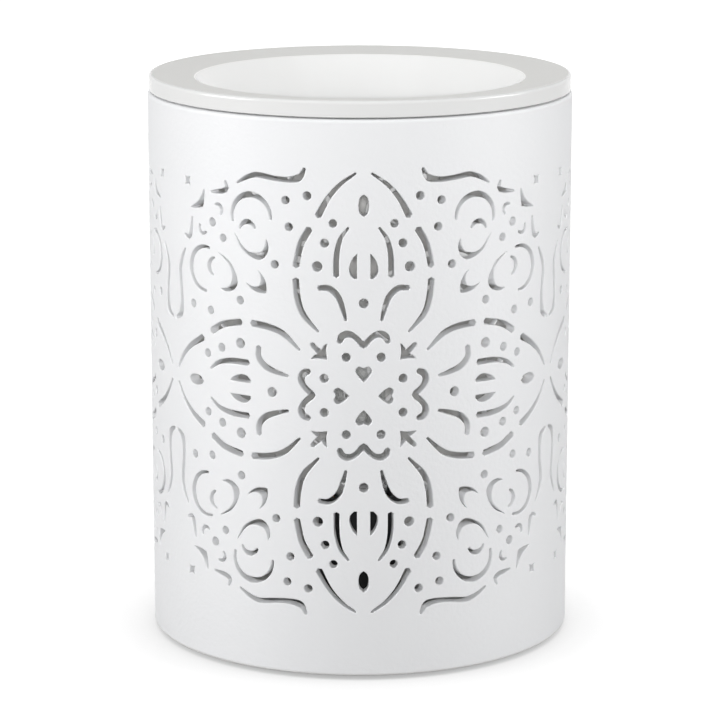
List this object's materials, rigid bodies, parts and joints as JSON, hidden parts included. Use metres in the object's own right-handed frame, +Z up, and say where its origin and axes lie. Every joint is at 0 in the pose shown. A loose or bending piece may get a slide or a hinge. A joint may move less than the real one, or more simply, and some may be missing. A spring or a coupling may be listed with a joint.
{
  "type": "electric fragrance oil warmer",
  "caption": "Straight cylindrical ceramic oil warmer with a pierced wall, a lamp in a holder on its base plate and a loose shallow oil dish resting on its rim.",
  "frame": {"origin": "on the table under the centre of the body, level with the undersides of the feet", "axes": "+Z up along the body's axis, -Y towards the viewer through a panel's centre, +X to the right"},
  "size_m": [0.105, 0.105, 0.1407],
  "materials": {
    "matt_glaze": "matt white glazed stoneware",
    "gloss_glaze": "gloss white glazed stoneware",
    "painted_plate": "white painted sheet steel",
    "foot_rubber": "grey rubber",
    "zinc_steel": "zinc plated",
    "black_resin": "black moulded resin",
    "cream_resin": "cream moulded resin",
    "terminal_brass": "bare brass",
    "inlet_rubber": "white rubber",
    "tin_solder": "tin solder",
    "black_glass": "opaque black glass",
    "cap_aluminium": "rolled aluminium",
    "clear_glass": "clear blown glass",
    "support_wire": "drawn wire",
    "tungsten": "coiled wire"
  },
  "bodies": {
    "body": {"shell": "matt_glaze", "base_plate": "painted_plate", "feet": "foot_rubber", "clamp_strap": "zinc_steel", "nipple": "zinc_steel", "nipple_nut": "zinc_steel", "holder_body": "black_resin", "terminal_block": "cream_resin", "wire_terminals": "terminal_brass", "threaded_sleeve": "terminal_brass", "contact_tab": "terminal_brass", "cord_bushing": "inlet_rubber"},
    "lamp_foot": {"lamp_tip": "tin_solder"},
    "lamp": {"lamp_insulator": "black_glass", "lamp_cap": "cap_aluminium", "lamp_glass": "clear_glass", "lamp_stem": "clear_glass", "lamp_wires": "support_wire", "lamp_filament": "tungsten"},
    "dish": {"dish": "gloss_glaze"}
  },
  "joints": [
    {"name": "dish_lift", "type": "slide", "parent": "body", "child": "dish", "axis": [0, 0, 1], "range_m": [0, 0.06]},
    {"name": "lamp_rise", "type": "slide", "parent": "body", "child": "lamp_foot", "axis": [0, 0, 1], "range_m": [0, 0.00777]},
    {"name": "lamp_unscrew", "type": "hinge", "parent": "lamp_foot", "child": "lamp", "pos_m": [0, 0, 0.0234], "axis": [0, 0, 1], "range_deg": [0, 990]}
  ],
  "couplings": [
    {"joint": "lamp_rise", "follows": "lamp_unscrew", "m_per_rad": 0.00044917}
  ]
}
